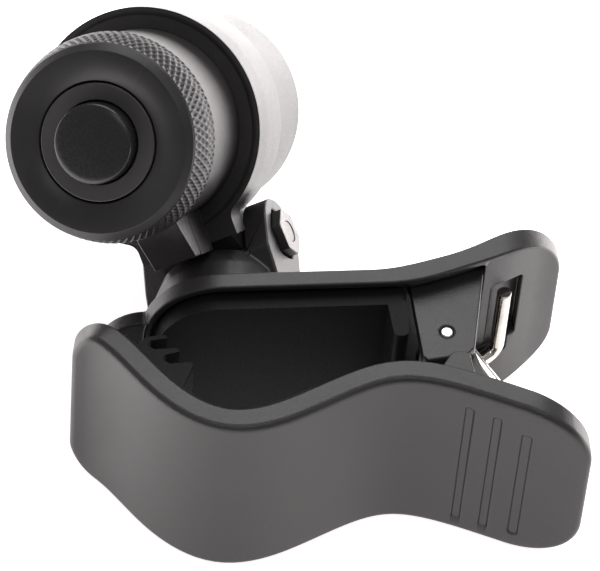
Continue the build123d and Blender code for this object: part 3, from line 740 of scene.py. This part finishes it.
def make_collar_marks():
    """Faint rings left by ejector pins on the collar's front face."""
    height = max(p.z for p in collar_points())
    for i, (radius, angle) in enumerate(COLLAR_MARKS):
        a = radians(angle)
        spot = HEAD @ Matrix.Translation(Vector((radius * cos(a), radius * sin(a), 0)) * MM)
        ridge = [(0.70, height - 0.02), (0.72, height + 0.006), (0.76, height + 0.012), (0.80, height + 0.006),
                 (0.82, height - 0.02)]
        lathe(f"ejector_mark_{i + 1}", ridge, "black_plastic", "head", spot, 48, closed=True)


# ---- spring --------------------------------------------------------------------------------------------

WIRE_SIDES = 20
WIRE_CAP = 0.12             # rounding of a cut end
COIL_STEPS = 36             # points in one turn
LEG_BEND_R = 1.5

WIRE_R = 0.85
COIL_R = 2.35
COIL_PITCH = 1.76
COIL_TURNS = 7
COIL_START = -4.6
UPPER_DEG = 127.0
LOWER_DEG = 28.0


def wire(path, radius):
    """Round wire along a path, with slightly rounded cut ends."""
    path = [Vector(p) for p in path]
    points = []
    rings = []
    side = (path[1] - path[0]).orthogonal().normalized()
    count = len(path)
    stations = []
    for i, point in enumerate(path):
        ahead = path[min(i + 1, count - 1)] - path[max(i - 1, 0)]
        stations.append((point, ahead.normalized(), radius))
    first, last = stations[0], stations[-1]
    stations[0] = (first[0] + first[1] * WIRE_CAP, first[1], radius)
    stations[-1] = (last[0] - last[1] * WIRE_CAP, last[1], radius)
    stations.insert(0, (first[0], first[1], radius - WIRE_CAP))
    stations.append((last[0], last[1], radius - WIRE_CAP))
    for point, ahead, r in stations:
        side = (side - ahead * side.dot(ahead)).normalized()
        other = ahead.cross(side)
        rings.append(list(range(len(points), len(points) + WIRE_SIDES)))
        for k in range(WIRE_SIDES):
            a = 2 * pi * k / WIRE_SIDES
            points.append(point + (side * cos(a) + other * sin(a)) * r)
    faces = [tuple(rings[0]), tuple(rings[-1])]
    for one, two in zip(rings, rings[1:]):
        for k in range(WIRE_SIDES):
            m = (k + 1) % WIRE_SIDES
            faces.append((one[k], one[m], two[m], two[k]))
    return points, faces


def bent(points, radius, steps=10):
    """Path through points with its middle corner turned into an arc."""
    a, b, c = (Vector(p) for p in points)
    before = (a - b).normalized()
    after = (c - b).normalized()
    half = before.angle(after) / 2
    middle = b + (before + after).normalized() * (radius / sin(half))
    start = b + before * (radius / tan(half)) - middle
    end = b + after * (radius / tan(half)) - middle
    arc = [middle + start.slerp(end, k / steps).normalized() * radius for k in range(steps + 1)]
    return [a] + arc + [c]


def leg(start_deg, z, length, cross):
    """Path of a leg: straight off the coil, then bent across the jaw."""
    a = radians(start_deg)
    start = Vector((COIL_R * cos(a), COIL_R * sin(a), z))
    along = Vector((sin(a), -cos(a), 0))
    corner = start + along * length
    return bent((start, corner, corner + Vector((0, 0, cross))), LEG_BEND_R)


def make_spring():
    """Coil that twists between the jaws, and a leg on each lever."""
    turns = COIL_TURNS + (LOWER_DEG - UPPER_DEG) / 360
    top = COIL_START + COIL_PITCH * turns
    steps = int(turns * COIL_STEPS)
    coil = []
    for i in range(steps + 1):
        a = radians(UPPER_DEG) + 2 * pi * turns * i / steps
        coil.append((COIL_R * cos(a), COIL_R * sin(a), COIL_START + (top - COIL_START) * i / steps))
    points, faces = wire(coil, WIRE_R)
    coil = new_piece("spring_coil", points, faces, "nickel_steel", None, CLIP)
    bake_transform(coil)
    points, faces = wire(leg(UPPER_DEG, COIL_START, 11.6, 10.9), WIRE_R)
    new_piece("spring_leg_upper", points, faces, "nickel_steel", "upper_clip", CLIP)
    points, faces = wire(leg(LOWER_DEG, top, 9.0, -10.9), WIRE_R)
    new_piece("spring_leg_lower", points, faces, "nickel_steel", "lower_clip", CLIP)
    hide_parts("torsion_spring")


BUTTON_COIL_R = 2.4
BUTTON_WIRE_R = 0.15
BUTTON_COIL_TURNS = 2.9
BUTTON_COIL_STEPS = 108


def make_button_spring():
    """Return spring of the button, squeezed between the hub and the button.

    Known fault: its top lies 0.55 mm inside the button's flange.
    """
    bottom, top = 19.15, 20.75
    coil = []
    for i in range(BUTTON_COIL_STEPS + 1):
        part = i / BUTTON_COIL_STEPS
        a = 2 * pi * BUTTON_COIL_TURNS * part
        height = bottom + BUTTON_WIRE_R + (top - bottom - 2 * BUTTON_WIRE_R) * part
        coil.append((BUTTON_COIL_R * cos(a), BUTTON_COIL_R * sin(a), height))
    points, faces = wire(coil, BUTTON_WIRE_R)
    spring = new_piece("button_return_spring", points, faces, "nickel_steel", None, HEAD)
    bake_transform(spring)
    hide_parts("button_spring")


# ---- CAD nodes that stay -------------------------------------------------------------------------------

OTHER_LOOK = {"dial_hub": "hub_plastic"}
EDGES = {
    "upper_jaw": 0.28, "upper_pad": 0.25, "lower_pad": 0.12, "yoke": 0.28, "collar_housing": 0.04,
    "dial_barrel": 0.2, "display_barrel": 0.35, "dial_hub": 0.12, "hinge_nut": 0.12, "hinge_bolt": 0.08,
    "pivot_pin": 0.06, "battery_tray": 0.12, "display_lens": 0.12,
}


def finish_nodes():
    """Materials of all CAD nodes, and rounded edges on those that show."""
    slots = {part["node"]: part["material_slot"] for part in frame["record"]["subparts"]}
    for name, node in NODES.items():
        paint(node, OTHER_LOOK.get(name, slots[name]))
        if name in EDGES:
            soften(node, EDGES[name], clamp=name == "upper_pad")


# ---- studio --------------------------------------------------------------------------------------------

# The photo's camera, rounded from edge slopes and ellipses measured in the photo. Distances are in metres.
CAMERA_RIGHT = (0.99531, -0.07958, 0.05498)
CAMERA_BACK = (-0.09200, -0.60352, 0.79202)
CAMERA_SIDE = -0.01585
CAMERA_LIFT = 0.0117
CAMERA_AWAY = 0.53977
FOCAL_LENGTH = 285.0
SENSOR_WIDTH = 36.0

FLOOR_HALF = 3.0            # metres
GLOW_FRONT = 0.9
GLOW_BACK = 5.0
GLOW_LEFT = 1.9
GLOW_COLOUR = (1.0, 0.955, 0.955)
WORLD_TOWARDS = (0.45, 0.80, 0.40)
WORLD_LOW = 0.16
WORLD_HIGH = 0.35


def camera():
    right = Vector(CAMERA_RIGHT)
    back = Vector(CAMERA_BACK).normalized()
    right = (right - right.dot(back) * back).normalized()
    up = back.cross(right)
    target = PIVOT + Vector((0, 0, 0.25 * MM))
    place = target + right * CAMERA_SIDE + up * CAMERA_LIFT + back * CAMERA_AWAY
    lens = bpy.data.cameras.new("camera")
    lens.sensor_width = SENSOR_WIDTH
    lens.lens = FOCAL_LENGTH
    lens.clip_start = 0.01
    lens.clip_end = 20
    obj = bpy.data.objects.new("camera", lens)
    bpy.context.scene.collection.objects.link(obj)
    obj.matrix_world = Matrix.Translation(place) @ Matrix((right, up, back)).transposed().to_4x4()
    bpy.context.scene.camera = obj


def softbox(name, place, target, size, energy):
    """Rectangular light at a place, turned to a target."""
    light = bpy.data.lights.new(name, "AREA")
    light.shape = "RECTANGLE"
    light.size, light.size_y = size
    light.energy = energy
    obj = bpy.data.objects.new(name, light)
    bpy.context.scene.collection.objects.link(obj)
    obj.location = place
    obj.rotation_euler = (Vector(target) - Vector(place)).to_track_quat("-Z", "Y").to_euler()


def make_floor():
    """Pale floor that gives off light, unevenly: most at the back right, more at the left than in front."""
    mesh = bpy.data.meshes.new("floor")
    side = FLOOR_HALF
    corners = [(-side, -side, 0), (side, -side, 0), (side, side, 0), (-side, side, 0)]
    mesh.from_pydata(corners, [], [(0, 1, 2, 3)])
    floor = bpy.data.objects.new("floor", mesh)
    bpy.context.scene.collection.objects.link(floor)
    n = Nodes("floor_paper")
    cloud = n.noise(60.0, 2.0)
    parts = n.add("ShaderNodeSeparateXYZ")
    n.link(n.place, parts.inputs[0])
    x, y = parts.outputs[0], parts.outputs[1]
    behind = n.maths("ADD", n.maths("MULTIPLY", x, 0.6), n.maths("MULTIPLY", y, 0.8))
    glow = n.maths("ADD", n.span(behind, 0.0, 0.08, GLOW_FRONT, GLOW_BACK),
                   n.span(x, -0.09, -0.03, GLOW_LEFT, 0.0))
    floor.data.materials.append(n.set(Base_Color=n.colours(cloud, (0.88, 0.88, 0.88), (0.90, 0.90, 0.90)),
                                      Roughness=0.9, Emission_Color=GLOW_COLOUR, Emission_Strength=glow))


def make_world():
    """Dim surroundings, brighter towards the back right and above."""
    world = bpy.data.worlds.new("studio")
    bpy.context.scene.world = world
    world.use_nodes = True
    tree = world.node_tree
    coords = tree.nodes.new("ShaderNodeTexCoord")
    spread = tree.nodes.new("ShaderNodeVectorMath")
    spread.operation = "DOT_PRODUCT"
    spread.inputs[1].default_value = Vector(WORLD_TOWARDS).normalized()
    tree.links.new(coords.outputs["Generated"], spread.inputs[0])
    ramp = tree.nodes.new("ShaderNodeMapRange")
    for socket, number in zip(("From Min", "From Max", "To Min", "To Max"), (-0.5, 0.9, WORLD_LOW, WORLD_HIGH)):
        ramp.inputs[socket].default_value = number
    tree.links.new(spread.outputs["Value"], ramp.inputs["Value"])
    ground = tree.nodes["Background"]
    ground.inputs["Color"].default_value = (1, 1, 1, 1)
    tree.links.new(ramp.outputs["Result"], ground.inputs["Strength"])


def studio():
    make_floor()
    make_world()
    softbox("overhead", (0.12, 0.75, 1.05), (0, 0.05, 0), (1.1, 0.9), 9)
    softbox("strip", (0.05, -0.35, 1.0), (0, 0, 0), (0.7, 0.07), 1.1)


finish_nodes()
make_lower_jaw()
make_lugs()
make_dial()
make_button()
make_collar_sleeve()
make_collar_marks()
make_spring()
make_button_spring()
camera()
studio()
bpy.context.scene.view_settings.view_transform = "Standard"
